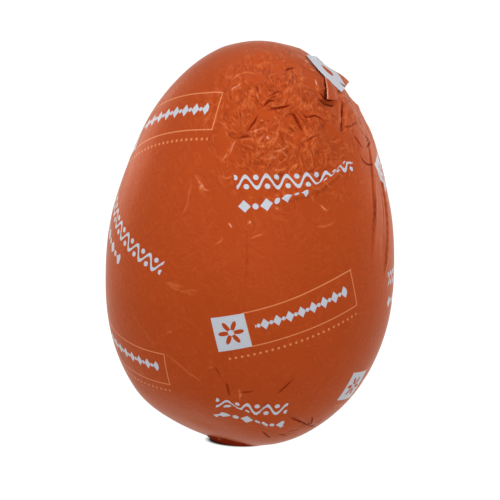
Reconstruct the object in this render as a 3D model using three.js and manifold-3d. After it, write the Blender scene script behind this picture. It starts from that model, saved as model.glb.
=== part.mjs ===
// A hollow chocolate egg in its printed foil, standing on its round end, which is pressed a little flat.
// Units are millimetres and +Z is up. The origin is the middle of the flat, and the foil's smooth front
// faces -Y. The wrapped egg is one closed solid: the foil lies tight on the chocolate, and nothing inside it
// shows.
//
// A place on the foil is given by its turn, the angle from the front towards +X, and by its height over the
// flat. The sheet is smooth at the front left. Its slack is gathered high on the right, where two corners of it
// stick out, and folds run away from the gather and from the flat.

import * as THREE from "three";
import { mergeVertices } from "three/addons/utils/BufferGeometryUtils.js";
import Module from "manifold-3d";

const degrees = THREE.MathUtils.degToRad;
const { clamp, smoothstep, lerp } = THREE.MathUtils;

// The egg.
const EGG_HEIGHT = 84; // from the flat to the tip
const EGG_WIDTH = 60; // across the widest ring
const BASE_CUT = 0.5; // how far the round end is pressed in to make the flat
const TAPER = 0.123; // how much narrower the tip is than the round end
const FULLNESS = 0.06; // how much fuller than an ellipse both ends are
const TIP_BLUNTNESS = 0.013;

// The facets. The columns stand closer on the gathered side, and the rows closer near the tip.
const COLUMNS = 98;
const ROWS = 56;
const COLUMN_CROWDING = 0.34;
const ROW_CROWDING = 0.34;

// The gather, and the creases that fan out from it, away from the smooth front.
const GATHER = { turn: degrees(92), height: 77 };
const GATHER_FOLDS = 15;
const GATHER_FOLD = { start: 6, shortest: 16, longest: 52, width: 3.6, depth: 0.4 };

// The crumpled zones, high at the front and behind the gather.
const CRUMPLED = [
  { turn: degrees(16), height: 69, reach: 22 },
  { turn: degrees(125), height: 74, reach: 28 },
];
const CRUMPLE_DEPTH = 0.25;
const CRUMPLE_WAVES = 5;
const CRUMPLE_WAVELENGTH = { shortest: 7, longest: 13 };

// The folds that run up from the flat, on the far side.
const BASE_FOLDS = 13;
const BASE_FOLD = { shortest: 9, longest: 24, width: 3.2, depth: 0.28 };
const BASE_CLEARANCE = 5; // the height at which the folds have their full depth

// The slow swells of a sheet that only touches the chocolate here and there.
const SWELL_DEPTH = 0.16;
const SWELL_WAVES = 6;
const SWELL_WAVELENGTH = { shortest: 16, longest: 30 };

// Where the egg is a little flatter than its outline, low at the front left.
const FLAT_SPOT = { turn: degrees(-35.4), height: 3.3, reach: 17.6, depth: 1.53, lift: 0.4 };

// The edge of the sheet that lies over itself, down the right of the back.
const OVERLAP = {
  turn: degrees(118),
  thickness: 0.4,
  ramp: degrees(26),
  edge: degrees(2.5),
  wander: degrees(3),
};

// The two corners of the sheet that stick out at the gather, one over the other. Each is a patch between a
// root, which lies in the foil, and a free edge. Three points give each of the two: both ends and the middle.
// A point is given by how far it lies down the egg and round it from a place on the foil, and by how far off
// the egg it stands.
const SHEET_THICKNESS = 0.5;
const CORNER_CELLS = { along: 8, across: 7 };
const CORNER_WAVE = 0.15;
const CORNERS = [
  {
    turn: degrees(80),
    height: 79,
    root: [[5.4, -4.3, -0.3], [-0.2, -5.6, -0.3], [-4.8, -1.2, -0.3]],
    edge: [[4.9, 4, 1.2], [1.3, 0, 0.7], [-2.8, -0.7, 0.6]],
  },
  {
    turn: degrees(66),
    height: 75.5,
    root: [[-3.2, -1.4, -0.3], [-2.9, 0.1, -0.3], [-2.4, 1.6, -0.3]],
    edge: [[1.3, -6.9, 0.4], [2.2, -4.6, 0.3], [0.9, -1.8, 0.2]],
  },
];

const halfHeight = (EGG_HEIGHT + BASE_CUT) / 2;
const middle = new THREE.Vector3(0, 0, halfHeight - BASE_CUT);

// The same fraction for the same whole number, for what is uneven in the foil.
function chance(number) {
  const spread = Math.sin(number * 12.9898) * 43758.5453;
  return spread - Math.floor(spread);
}

// The ring of a plain egg at a share of its half height, from -1 at the round end to 1 at the tip, before it is
// brought to size.
function eggRing(share) {
  const swell = 1 - TAPER * share + FULLNESS * share ** 2 + TIP_BLUNTNESS * share ** 3;
  return Math.sqrt(Math.max(1 - share ** 2, 0)) * swell;
}

const samples = Array.from({ length: 2001 }, (_, i) => eggRing(i / 1000 - 1));
const widestRing = Math.max(...samples);

function radiusAt(height) {
  return ((EGG_WIDTH / 2) * eggRing((height - middle.z) / halfHeight)) / widestRing;
}

function pointAt(turn, height) {
  const radius = radiusAt(height);
  return new THREE.Vector3(radius * Math.sin(turn), -radius * Math.cos(turn), height);
}

// Where a ray from the egg's middle leaves the smooth egg.
function pointTowards(direction) {
  let near = 0;
  let far = EGG_HEIGHT;
  for (let i = 0; i < 40; i += 1) {
    const reach = (near + far) / 2;
    const height = middle.z + reach * direction.z;
    const inside = height < EGG_HEIGHT && Math.hypot(direction.x, direction.y) * reach < radiusAt(height);
    if (inside) near = reach;
    else far = reach;
  }
  return middle.clone().addScaledVector(direction, near);
}

// Two directions on the foil at a place, seen from the egg's middle: down the egg, and towards larger turns.
function compassAt(turn, height) {
  const out = pointAt(turn, height).sub(middle);
  const reach = out.length();
  out.normalize();
  const round = new THREE.Vector3(Math.cos(turn), Math.sin(turn), 0);
  const down = new THREE.Vector3().crossVectors(round, out).normalize();
  if (down.z > 0) down.negate();
  return { out, down, round, reach };
}

// How far a point is from a compass's place along the foil, and which way it lies from it.
function bearing(point, compass) {
  const towards = point.clone().sub(middle).normalize();
  const turned = Math.acos(clamp(towards.dot(compass.out), -1, 1));
  const way = Math.atan2(towards.dot(compass.round), towards.dot(compass.down));
  return { distance: turned * compass.reach, circle: Math.sin(turned) * compass.reach, way };
}

// Across a fold, from -1 to 1: the foil climbs slowly, and drops where the fold has been pressed over.
function foldSection(across) {
  if (across < -1 || across > 1) return 0;
  return across < 0.6 ? smoothstep(across, -1, 0.6) : 1 - smoothstep(across, 0.6, 1);
}

const angleBetween = (a, b) => Math.atan2(Math.sin(a - b), Math.cos(a - b));

const gather = compassAt(GATHER.turn, GATHER.height);
const flatSpotCentre = compassAt(FLAT_SPOT.turn, FLAT_SPOT.height);
const crumpled = CRUMPLED.map(({ turn, height, reach }) => ({ centre: compassAt(turn, height), reach }));

function gatherFolds(turn, point) {
  const { distance, circle, way } = bearing(point, gather);
  let height = 0;
  for (let i = 0; i < GATHER_FOLDS; i += 1) {
    const fold = ((i + 0.7 * chance(i)) / GATHER_FOLDS) * 2 * Math.PI;
    const length = lerp(GATHER_FOLD.shortest, GATHER_FOLD.longest, chance(i + 40) ** 1.5);
    const across = (circle * angleBetween(way, fold)) / (GATHER_FOLD.width / 2);
    const begun = smoothstep(distance, GATHER_FOLD.start, 2 * GATHER_FOLD.start);
    const left = 1 - smoothstep(distance, 0.5 * length, length);
    height += GATHER_FOLD.depth * lerp(0.5, 1, chance(i + 80)) * begun * left * foldSection(across);
  }
  return smoothstep(-Math.cos(turn), -0.6, 0.2) * height;
}

function baseFolds(turn, height) {
  const circle = radiusAt(height);
  let rise = 0;
  for (let i = 0; i < BASE_FOLDS; i += 1) {
    const fold = ((i + 0.6 * chance(i + 120)) / BASE_FOLDS) * 2 * Math.PI;
    const top = lerp(BASE_FOLD.shortest, BASE_FOLD.longest, chance(i + 160));
    const across = (circle * angleBetween(turn, fold)) / (BASE_FOLD.width / 2);
    rise += BASE_FOLD.depth * (1 - smoothstep(height, 0.4 * top, top)) * foldSection(across);
  }
  return smoothstep(-Math.cos(turn), -0.3, 0.5) * rise;
}

// Waves of uneven direction and length, between -1 and 1 and mostly near 0.
function waves(point, count, wavelength, first) {
  let sum = 0;
  for (let i = 0; i < count; i += 1) {
    const number = first + 7 * i;
    const rise = 2 * chance(number) - 1;
    const round = 2 * Math.PI * chance(number + 1);
    const flat = Math.sqrt(1 - rise ** 2);
    const along = point.x * flat * Math.cos(round) + point.y * flat * Math.sin(round) + point.z * rise;
    const length = lerp(wavelength.shortest, wavelength.longest, chance(number + 2));
    sum += Math.sin((2 * Math.PI * along) / length + 2 * Math.PI * chance(number + 3));
  }
  return sum / Math.sqrt(count);
}

// The foil is crumpled into facets that meet in ridges, where two sets of waves pass through 0.
function crumples(point) {
  const strengths = crumpled.map(({ centre, reach }) => {
    const { distance } = bearing(point, centre);
    return 1 - smoothstep(distance, 0.4 * reach, reach);
  });
  const strength = Math.max(...strengths);
  const ridge = 1 - 2 * Math.abs(waves(point, CRUMPLE_WAVES, CRUMPLE_WAVELENGTH, 300));
  const crossRidge = 1 - 2 * Math.abs(waves(point, CRUMPLE_WAVES, CRUMPLE_WAVELENGTH, 400));
  return CRUMPLE_DEPTH * strength * (0.6 * ridge + 0.4 * crossRidge);
}

function flatSpot(point) {
  const { distance } = bearing(point, flatSpotCentre);
  const lifted = smoothstep(point.z, 0, FLAT_SPOT.lift);
  return -FLAT_SPOT.depth * lifted * (1 - smoothstep(distance, 0.15 * FLAT_SPOT.reach, FLAT_SPOT.reach));
}

function overlap(turn, height) {
  const edge = OVERLAP.turn + OVERLAP.wander * Math.sin(height / 9);
  const past = angleBetween(turn, edge);
  const climb = smoothstep(past, -OVERLAP.ramp, -OVERLAP.edge);
  const drop = 1 - smoothstep(past, -OVERLAP.edge, OVERLAP.edge);
  return OVERLAP.thickness * climb * drop;
}

// How far the foil stands out from the smooth egg. It is pressed flat where the egg stands, and meets at the
// tip.
function relief(turn, point) {
  const clearOfFlat = smoothstep(point.z, 0, BASE_CLEARANCE);
  const clearOfTip = smoothstep(EGG_HEIGHT - point.z, 0.1, 2.5);
  const swells = SWELL_DEPTH * waves(point, SWELL_WAVES, SWELL_WAVELENGTH, 500);
  const folds = gatherFolds(turn, point) + baseFolds(turn, point.z) + overlap(turn, point.z);
  return clearOfFlat * clearOfTip * (swells + crumples(point) + folds) + flatSpot(point);
}

function toSolid(wasm, geometry) {
  geometry.deleteAttribute("normal");
  geometry.deleteAttribute("uv");
  const merged = mergeVertices(geometry, 1e-3);
  const mesh = new wasm.Mesh({
    numProp: 3,
    vertProperties: new Float32Array(merged.attributes.position.array),
    triVerts: new Uint32Array(merged.index.array),
  });
  return new wasm.Manifold(mesh);
}

function toGeometry(solid) {
  const mesh = solid.getMesh();
  const geometry = new THREE.BufferGeometry();
  geometry.setAttribute("position", new THREE.BufferAttribute(mesh.vertProperties, 3));
  geometry.setIndex(new THREE.BufferAttribute(mesh.triVerts, 1));
  geometry.computeVertexNormals();
  return geometry;
}

// The profile runs from the middle of the flat over its rim and up to the tip.
function eggProfile() {
  const rim = -1 + BASE_CUT / halfHeight;
  const lowest = Math.acos(-rim);
  const points = [new THREE.Vector2(0, 0)];
  for (let i = 0; i <= ROWS; i += 1) {
    const share = i / ROWS;
    const crowded = share + (ROW_CROWDING * Math.sin(Math.PI * share)) / Math.PI;
    const height = middle.z - halfHeight * Math.cos(lerp(lowest, Math.PI, crowded));
    points.push(new THREE.Vector2(i < ROWS ? radiusAt(height) : 0, height));
  }
  return points;
}

// The lathe's own axis is Y, so the egg is tipped up onto Z before the foil's relief is raised on it.
function wrappedEgg() {
  const geometry = new THREE.LatheGeometry(eggProfile(), COLUMNS).rotateX(Math.PI / 2);
  const position = geometry.attributes.position;
  for (let i = 0; i < position.count; i += 1) {
    const lathed = new THREE.Vector3().fromBufferAttribute(position, i);
    if (Math.hypot(lathed.x, lathed.y) < 1e-6) continue;
    const even = Math.atan2(lathed.x, -lathed.y);
    const turn = even - COLUMN_CROWDING * Math.sin(even - GATHER.turn);
    const radius = Math.hypot(lathed.x, lathed.y);
    const point = new THREE.Vector3(radius * Math.sin(turn), -radius * Math.cos(turn), lathed.z);
    const out = point.clone().sub(middle).normalize();
    point.addScaledVector(out, relief(turn, point));
    position.setXYZ(i, point.x, point.y, point.z);
  }
  return geometry;
}

// The place at a share of the way along a smooth line through three points.
function quadratic([first, between, last], share) {
  const weights = [(1 - share) * (1 - 2 * share), 4 * share * (1 - share), share * (2 * share - 1)];
  return new THREE.Vector3()
    .addScaledVector(new THREE.Vector3(...first), weights[0])
    .addScaledVector(new THREE.Vector3(...between), weights[1])
    .addScaledVector(new THREE.Vector3(...last), weights[2]);
}

// A corner of the sheet: a thin slab laid round the egg, which curls up from its root to its free edge.
function sheetCorner({ turn, height, root, edge }) {
  const { out, down, round, reach } = compassAt(turn, height);
  const geometry = new THREE.BoxGeometry(1, 1, 1, CORNER_CELLS.along, CORNER_CELLS.across, 1);
  const position = geometry.attributes.position;
  for (let i = 0; i < position.count; i += 1) {
    const along = position.getX(i) + 0.5;
    const across = position.getY(i) + 0.5;
    const offset = quadratic(root, across).lerp(quadratic(edge, across), along);
    const direction = out
      .clone()
      .addScaledVector(down, offset.x / reach)
      .addScaledVector(round, offset.y / reach)
      .normalize();
    const lift = offset.z + CORNER_WAVE * along * Math.sin(2 * Math.PI * across);
    const raised = position.getZ(i) > 0 ? SHEET_THICKNESS : 0;
    const point = pointTowards(direction).addScaledVector(direction, lift + raised);
    position.setXYZ(i, point.x, point.y, point.z);
  }
  return geometry;
}

const wasm = await Module();
wasm.setup();

let solid = toSolid(wasm, wrappedEgg());
for (const corner of CORNERS) solid = solid.add(toSolid(wasm, sheetCorner(corner)));

const printedFoil = new THREE.MeshStandardMaterial({ color: 0xb44a20, roughness: 0.38, metalness: 0.6 });
const egg = new THREE.Mesh(toGeometry(solid), printedFoil);
egg.name = "foil_wrapped_egg";

const part = new THREE.Group();
part.add(egg);

export default part;
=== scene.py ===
"""A chocolate egg in its printed foil: the foil's folds, crumples, creases and print, and a pale stage.

The foil lies over the CAD egg and has the same main folds, worked out by the same rules. Lengths in this
file are millimetres, and a place on the egg is a turn, in degrees from the front towards +X, and a height
over the flat.
"""

from math import cos, pi, radians, sin
from typing import NamedTuple

import bpy
import numpy as np
from bpy.props import FloatProperty, FloatVectorProperty, IntProperty, PointerProperty
from mathutils import Matrix, Vector, noise


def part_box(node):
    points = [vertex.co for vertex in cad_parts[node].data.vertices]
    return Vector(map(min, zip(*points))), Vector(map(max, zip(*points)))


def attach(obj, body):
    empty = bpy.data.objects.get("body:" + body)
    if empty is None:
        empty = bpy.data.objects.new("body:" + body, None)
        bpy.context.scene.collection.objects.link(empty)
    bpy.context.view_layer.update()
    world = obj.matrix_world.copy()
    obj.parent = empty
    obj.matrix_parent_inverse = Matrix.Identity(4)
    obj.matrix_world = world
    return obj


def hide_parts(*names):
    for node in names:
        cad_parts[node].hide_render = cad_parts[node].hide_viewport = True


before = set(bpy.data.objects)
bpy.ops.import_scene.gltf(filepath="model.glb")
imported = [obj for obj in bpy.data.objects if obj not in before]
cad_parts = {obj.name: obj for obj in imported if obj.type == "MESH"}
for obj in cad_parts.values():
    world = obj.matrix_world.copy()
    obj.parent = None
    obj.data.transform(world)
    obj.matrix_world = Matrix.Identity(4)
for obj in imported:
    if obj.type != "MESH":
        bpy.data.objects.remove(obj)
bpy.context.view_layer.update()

bl_info = {
    "name": "Foil-wrapped chocolate egg",
    "version": (1, 0, 0),
    "blender": (4, 5, 0),
    "location": "3D View > Sidebar > Foil egg",
    "description": "Wraps a chocolate egg in printed, crumpled foil and lights it on a pale stage",
    "category": "Add Mesh",
}

MM = 0.001
NODE = "foil_wrapped_egg"
LOWEST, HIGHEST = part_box(NODE)

# The egg's outline, as the CAD node has it.
EGG_HEIGHT = (HIGHEST[2] - LOWEST[2]) / MM
EGG_WIDTH = 60.0
BASE_CUT = 0.5
TAPER = 0.123
FULLNESS = 0.06
TIP_BLUNTNESS = 0.013
HALF_HEIGHT = (EGG_HEIGHT + BASE_CUT) / 2
MIDDLE = np.array([0.0, 0.0, HALF_HEIGHT - BASE_CUT])

# The columns of faces stand closer on the gathered side, and the rows closer near the tip.
COLUMN_CROWDING = 0.18
ROW_CROWDING = 0.22

# The gather, and the folds that fan out from it, away from the smooth front.
GATHER_TURN, GATHER_HEIGHT = 92.0, 77.0
GATHER_FOLDS = 15
GATHER_FOLD_START, GATHER_FOLD_SHORTEST, GATHER_FOLD_LONGEST = 6.0, 16.0, 52.0
GATHER_FOLD_WIDTH, GATHER_FOLD_DEPTH = 3.6, 0.4
FOLD_CREST = 0.6  # how far across a fold its crest lies, from -1 to 1

# The crumpled zones: turn, height and reach.
CRUMPLED = ((16.0, 69.0, 22.0), (125.0, 74.0, 28.0))
CRUMPLE_DEPTH = 0.25
CRUMPLE_WAVES = 5
CRUMPLE_WAVELENGTHS = 7.0, 13.0

# The folds that run up from the flat, on the far side.
BASE_FOLDS = 13
BASE_FOLD_SHORTEST, BASE_FOLD_LONGEST = 9.0, 24.0
BASE_FOLD_WIDTH, BASE_FOLD_DEPTH = 3.2, 0.28
BASE_CLEARANCE = 5.0  # how far over the flat the relief takes to reach its full depth
TIP_CLEARANCE = 0.1, 2.5  # where under the tip it starts, and where it is full

# The facets that the foil keeps from being crumpled, large and small: their size and how steeply they tilt.
FACET_SIZES = 3.6, 1.6
FACET_SLOPES = 0.12, 0.18
FACET_WARP, FACET_WARP_LENGTH = 0.5, 2.2  # how crooked their edges are, as shares of their size
FACET_EDGE = 14.0  # how sharply two facets meet
FACET_TILT_SPREAD = 7.3  # how far apart in the noise neighbours find their tilts
FACET_SEED = 1795511270  # the noise's own seed is the clock, and would give other tilts each time

# The slow swells of a sheet that only touches the chocolate here and there.
SWELL_DEPTH = 0.16
SWELL_WAVES = 6
SWELL_WAVELENGTHS = 16.0, 30.0

# The edge of the sheet that lies over itself.
OVERLAP_TURN, OVERLAP_THICKNESS = 118.0, 0.4
OVERLAP_RAMP, OVERLAP_EDGE, OVERLAP_WANDER, OVERLAP_WANDER_LENGTH = 26.0, 2.5, 3.0, 9.0

# Where the egg is a little flatter than its outline, low at the front left.
FLAT_SPOT_TURN, FLAT_SPOT_HEIGHT = -35.4, 3.3
FLAT_SPOT_REACH, FLAT_SPOT_DEPTH, FLAT_SPOT_LIFT = 17.6, 1.53, 0.4


class Fold(NamedTuple):
    """A fold, crease or ridge pressed along a line of (turn, height) places."""

    kind: str
    places: tuple
    width: float
    rise: float
    hides: float = 0.0  # how much of the print a tuck takes in


FOLDS = [
    Fold("tuck", ((0, 55.2), (20, 56.4), (35, 59.4), (50, 64.0)), 2.4, 0.3, 3.0),
    Fold("tuck", ((80, 68), (68, 60), (60, 50), (57, 40)), 2.2, 0.3, 0.8),
    Fold("tuck", ((79, 62), (76, 55), (71, 44), (66, 38)), 1.8, 0.35, 0.8),
    Fold("tuck", ((-9, 13.2), (0, 11.6), (12, 8.6), (22, 6.8)), 1.8, 0.25, 2.0),
    Fold("crease", ((62, 74), (55, 70.4), (47, 67.4)), 2.0, 0.4),
    Fold("crease", ((40, 75), (46.2, 73.5), (59, 73.6)), 1.8, 0.4),
    Fold("crease", ((2, 72.0), (11.5, 72.0), (25, 73.4)), 1.8, 0.15),
    Fold("crease", ((22, 12), (39.8, 7.7), (66, 5.4)), 2.0, 0.2),
    Fold("ridge", ((-3.4, 62), (-3.0, 45), (-2.4, 22)), 1.6, 0.05),
]


# The sharp creases (depth above 0), darkened as painted shade, and worn ridges (below 0), lightened as wear
# and painted highlight: a depth, then (turn, height) places.
LINES = [
    # Creases between the gather and the far side.
    (1.0, (65, 73.9), (55.2, 70.9), (48, 67.4)),
    (0.6, (51, 68.4), (59.5, 68.9), (70, 69.4)),
    (0.9, (57.4, 67.2), (60.3, 65.6), (63.6, 64.0)),
    (0.8, (66.5, 68.1), (72.5, 66.2), (76.5, 64.8)),
    (0.8, (66.5, 64.2), (72, 64.8), (77, 65.0)),
    (0.9, (58.6, 63.4), (61, 61.5), (71, 60.8)),
    (0.8, (68.5, 60.8), (68.0, 59.6), (66.5, 57.6)),
    (0.5, (65, 57.5), (61, 52.3), (57.5, 46.0)),
    (0.4, (91, 60), (81.5, 55.3), (74, 49)),
    (0.4, (73, 58.6), (68.8, 50.9), (64, 42.0)),
    # Creases in the crumpled front and beside the gather.
    (0.8, (4.4, 73.9), (8.0, 74.9), (14.5, 75.2)),
    (1.0, (4.8, 72.0), (11.5, 72.1), (19.5, 72.8)),
    (0.8, (0.4, 71.8), (5.0, 73.0), (9.4, 73.5)),
    (0.9, (19.5, 79.1), (26, 79.6), (33.5, 79.9)),
    (0.6, (-12.0, 66.0), (-6.8, 66.2), (-1.5, 66.4)),
    (0.7, (-0.4, 70.9), (-3.6, 68.8), (-5.8, 67.2)),
    (0.9, (16.6, 70.8), (20.0, 70.7), (22.8, 68.6)),
    (0.8, (24, 71.8), (28, 70.6), (33.5, 70.8), (40.5, 69.0)),
    (0.8, (18, 71.4), (24, 67.8)),
    (0.5, (22.5, 66.0), (27.2, 66.5), (33.5, 67.5)),
    (0.7, (69.2, 68.4), (70.1, 67.7), (71.0, 66.8)),
    (0.8, (71.0, 73.4), (72.8, 73.2), (74.6, 73.0)),
    (0.6, (75.0, 70.0), (73.0, 69.3), (71.0, 68.7)),
    (0.7, (47.6, 67.6), (49.6, 68.1), (51.6, 68.4)),
    # Creases low at the front.
    (1.0, (25, 9.9), (44, 7.2), (62, 5.7)),
    (0.9, (43.4, 9.3), (46.8, 7.9), (50.6, 6.5)),
    (0.9, (54, 7.0), (56, 7.4), (58.4, 7.8)),
    (1.0, (14.6, 6.0), (20, 4.8), (26, 3.8)),
    (0.6, (26.5, 5.4), (32, 4.9), (38.5, 4.5)),
    (0.6, (33.5, 5.7), (38, 5.9), (43, 6.2)),
    (0.6, (16.0, 15.0), (19.0, 16.6), (22.6, 18.8)),
    (0.5, (-0.8, 15.1), (2.4, 15.3), (5.6, 15.6)),
    (0.5, (-7.4, 17.6), (-6.4, 15.7), (-5.4, 13.8)),
    (0.3, (-12, 20.6), (-10.5, 19.4), (-9, 18.2)),
    (0.3, (13, 13.8), (11.4, 12.0), (10, 10.4)),
    # Worn ridges of the crumpled front, lightened as wear and painted highlight.
    (-0.7, (-23.4, 76.4), (-20.0, 77.4), (-16.6, 77.9)),
    (-0.6, (-17.8, 77.8), (-11.5, 78.4), (-4.0, 78.2)),
    (-1.0, (-20.2, 74.5), (-17.8, 75.5), (-13.0, 76.3)),
    (-0.8, (7.6, 63.9), (11.5, 64.3), (15.6, 65.4)),
    (-0.8, (3.8, 65.3), (6.2, 65.7), (8.0, 67.0)),
    (-0.7, (6.4, 64.8), (8.8, 66.2), (10.2, 67.7)),
    (-0.6, (3.8, 62.9), (7.5, 63.4), (11.8, 63.3)),
    (-0.6, (-1.4, 64.5), (2.0, 64.7), (4.8, 64.7)),
    (-0.6, (-9.4, 65.6), (-6.0, 65.8), (-3.0, 65.7)),
    (-0.7, (-1.0, 64.9), (1.5, 66.1), (3.2, 67.6)),
    # Scratches and a crease low at the left.
    (-0.9, (-1.3, 16.2), (-0.8, 14.6), (-0.3, 13.0)),
    (-0.45, (-36.5, 22.7), (-31.3, 21.0), (-26.3, 19.4), (-21.0, 17.7), (-15.5, 16.3)),
    (-0.25, (-54.0, 29.1), (-47.5, 26.9), (-42.2, 24.4), (-36.5, 22.7)),
    (-0.5, (-33.2, 26.1), (-31.8, 26.4), (-29.8, 26.6)),
    (-1.2, (-14.2, 23.5), (-13.8, 23.4), (-13.4, 23.3)),
    (-0.8, (-14.6, 20.1), (-13.8, 20.3), (-13.0, 20.5)),
    (0.6, (-71.8, 19.4), (-69.5, 17.7), (-66.2, 15.8)),
    # Scratches and worn ridges higher at the left.
    (-0.9, (-28, 58.2), (-24.5, 56.8), (-23.0, 54.4)),
    (-0.8, (-25, 58.0), (-22, 55.8), (-19, 55.6)),
    (-0.8, (-16.5, 61.2), (-14.4, 62.6), (-14.0, 64.4)),
    (-0.8, (-13.5, 62.0), (-12.0, 64.4), (-10.6, 65.8)),
    (-0.5, (-34.5, 36.3), (-30.2, 36.3), (-24.5, 35.9)),
    (-0.5, (-33.0, 35.6), (-28.5, 35.3), (-24.0, 34.9), (-19.8, 34.6)),
    (-0.3, (-26.5, 34.8), (-22.8, 35.4), (-19.0, 36.0)),
    (-0.4, (-30, 50), (-28, 53), (-29, 58)),
    (-0.5, (-4, 71), (-7, 73), (-6, 75.5)),
    # Painted shadows in the gaps under the loose corners, and the worn folds beside them, lightened as wear
    # and painted highlight.
    (1.4, (42.6, 75.8), (44.6, 75.0), (46.8, 74.4), (50.5, 74.1), (57.0, 74.5), (65.5, 75.2)),
    (1.0, (77.5, 75.0), (77.2, 73.9), (76.5, 72.7), (76.0, 71.6)),
    (-1.4, (46.3, 77.8), (45.6, 77.0), (44.4, 76.4)),
    (-1.2, (44.2, 76.3), (43.4, 75.8), (43.2, 75.2)),
    (-1.2, (54.0, 81.1), (58.0, 80.9), (62.5, 80.6)),
    (-1.2, (50.0, 79.7), (53.0, 79.4), (56.5, 79.1)),
    # Small worn marks down the front, lightened as wear and painted glints.
    (-1.4, (3.9, 66.7), (4.8, 66.3), (5.8, 66.0)),
    (-1.0, (28.5, 54.1), (29.8, 53.3), (32.0, 52.6)),
    (-0.6, (25.5, 49.7), (30.8, 49.8), (35.2, 50.8)),
    (-1.2, (-1.8, 50.4), (-0.8, 49.9), (0.2, 49.5)),
    (-1.2, (-9.8, 49.6), (-9.0, 49.1), (-8.2, 48.6)),
    (-0.6, (-1.0, 46.9), (1.8, 47.3), (5.0, 48.2)),
    (-0.7, (-14.2, 45.2), (-12.0, 45.9), (-11.2, 46.9)),
    (-1.0, (8.4, 53.3), (9.5, 53.0), (10.6, 52.9)),
    (-0.7, (-14.8, 59.0), (-12.8, 58.2), (-9.4, 58.8)),
    (-0.8, (-6.4, 67.2), (-1.2, 67.6), (3.4, 68.7)),
    (-0.8, (1.6, 62.5), (6.0, 62.7), (10.4, 63.2)),
    (-0.7, (6.4, 60.9), (10.8, 60.7), (14.1, 61.5)),
    # A faint crease down the front, and the edges of the folds down the side.
    (0.12, (-2.5, 50.0), (-1.8, 45.6), (-1.5, 42.3), (-0.8, 35.0)),
    (0.9, (69.0, 60.6), (64.5, 56.5), (61.0, 53.2), (57.0, 48.8)),
    (0.6, (72.5, 58.6), (70.2, 53.4), (68.0, 48.3)),
    (-0.4, (62.6, 59.9), (59.5, 54.3), (56.0, 48.6)),
    (-0.4, (61.8, 47.6), (62.8, 44.2), (62.8, 40.3)),
    (0.3, (66.9, 47.8), (68.0, 43.9), (68.0, 39.6)),
    # The tight folds that ring the flat, darkened as painted shade where the egg meets the floor.
    (1.6, (-125, 0.1), (-95, 0.1), (-65, 0.1), (-35, 0.1), (-5, 0.1), (20, 0.1), (40, 0.1)),
    (1.6, (-125, 0.24), (-95, 0.24), (-65, 0.24), (-35, 0.24), (-5, 0.23), (20, 0.2), (40, 0.2)),
    (1.6, (-125, 0.38), (-95, 0.38), (-65, 0.38), (-35, 0.38), (-5, 0.34), (18, 0.3), (34, 0.3)),
    (1.5, (-115, 0.53), (-90, 0.53), (-65, 0.53), (-40, 0.52), (-15, 0.46), (8, 0.42)),
    (1.4, (-105, 0.7), (-85, 0.7), (-65, 0.7), (-45, 0.68), (-25, 0.62), (-5, 0.54)),
]
LINE_REACH = 1.6  # how far beside a line the foil still knows of it
PATH_STEPS = 60  # how many points a line or a fold is followed by


class Corner(NamedTuple):
    """A loose corner of the sheet."""

    name: str
    turn: float
    height: float
    root: tuple  # how far down, round and off the egg three places of it lie
    edge: tuple


CORNERS = [
    Corner(
        "printed_corner",
        80.0,
        79.0,
        ((5.4, -4.3, 0.3), (-0.4, -4.8, 0.15), (-4.8, -1.2, 0.1)),
        ((4.9, 4.0, 1.6), (1.3, 0.0, 1.0), (-2.8, -0.7, 0.9)),
    ),
    Corner(
        "plain_corner",
        66.0,
        75.5,
        ((-3.2, -1.4, 0.1), (-2.9, 0.1, 0.15), (-2.4, 1.6, 0.1)),
        ((1.3, -6.9, 0.55), (2.1, -3.8, 0.4), (0.0, -0.3, 0.3)),
    ),
]
CORNER_THICKNESS = 0.1
CORNER_WAVE = 0.15
CORNER_LENGTH, CORNER_WIDTH = 5.8, 11.0  # of the printed corner's print, from root to edge and end to end
CORNER_GRID = 36, 30  # its faces, from root to edge and from end to end
CORNER_WEAR_AND_HIGHLIGHT, CORNER_CREASE_SHADE = -1.2, 1.3  # the depths of the lines on the corners: the plain corner's edge lightened as wear and painted highlight, the printed corner's edge and fold darkened as painted shade


class Item(NamedTuple):
    """A printed motif, where it lies, how far its line climbs to the right, and how it bows."""

    motif: str
    turn: float
    height: float
    tilt: float
    bow: float = 0.0014
    end: float = 99.0  # where along its line a fold takes the rest of it in
    tall: float = 1.0  # how far the foil is stretched across the line


ITEMS = [
    Item("ribbon", 16.9, 31.4, 19.5),
    Item("garland", 21.3, 56.4, 4.5, 0.0052),
    Item("garland", 21.8, 9.6, 8.1, 0.0014, 1.2),
    Item("ribbon", -65.2, 67.5, 23.5, tall=1.2),
    Item("garland", -62.6, 41.5, -24.8, 0.0069),
    Item("ribbon", -67.9, 19.6, -12.5),
    Item("ribbon", 107.0, 61.0, 8.0),
    Item("garland", 98.0, 36.4, 6.0),
    Item("ribbon", 90.9, 16.0, 11.3),
    Item("garland", 198.0, 63.0, -7.0),
    Item("ribbon", 163.0, 36.0, -12.0),
    Item("garland", -131.0, 40.0, 9.0),
    Item("ribbon", 192.0, 14.0, -8.0),
]
PRINT_RADIUS = 31.0  # how round the egg is under a motif
ITEM_REACH = {"ribbon": (16.6, 6.6), "garland": (15.4, 5.2)}  # how far a motif reaches along and across
MOTIF_STEP = 100.0  # the print is drawn on one sheet, with the garland this far along from the ribbon
CORNER_STEP = -100.0  # and the printed corner this far
PLAIN = (-500.0, -500.0)  # a place on that sheet with no print
BARE = (-300.0, -300.0)  # and one with bare foil


# -------------------- the shape of the egg


def egg_ring(share):
    """The ring of a plain egg at a share of its half height, from -1 to 1, not yet to size."""
    swell = 1 - TAPER * share + FULLNESS * share**2 + TIP_BLUNTNESS * share**3
    return np.sqrt(np.maximum(1 - share**2, 0)) * swell


WIDEST_RING = egg_ring(np.linspace(-1, 1, 2001)).max()


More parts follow.
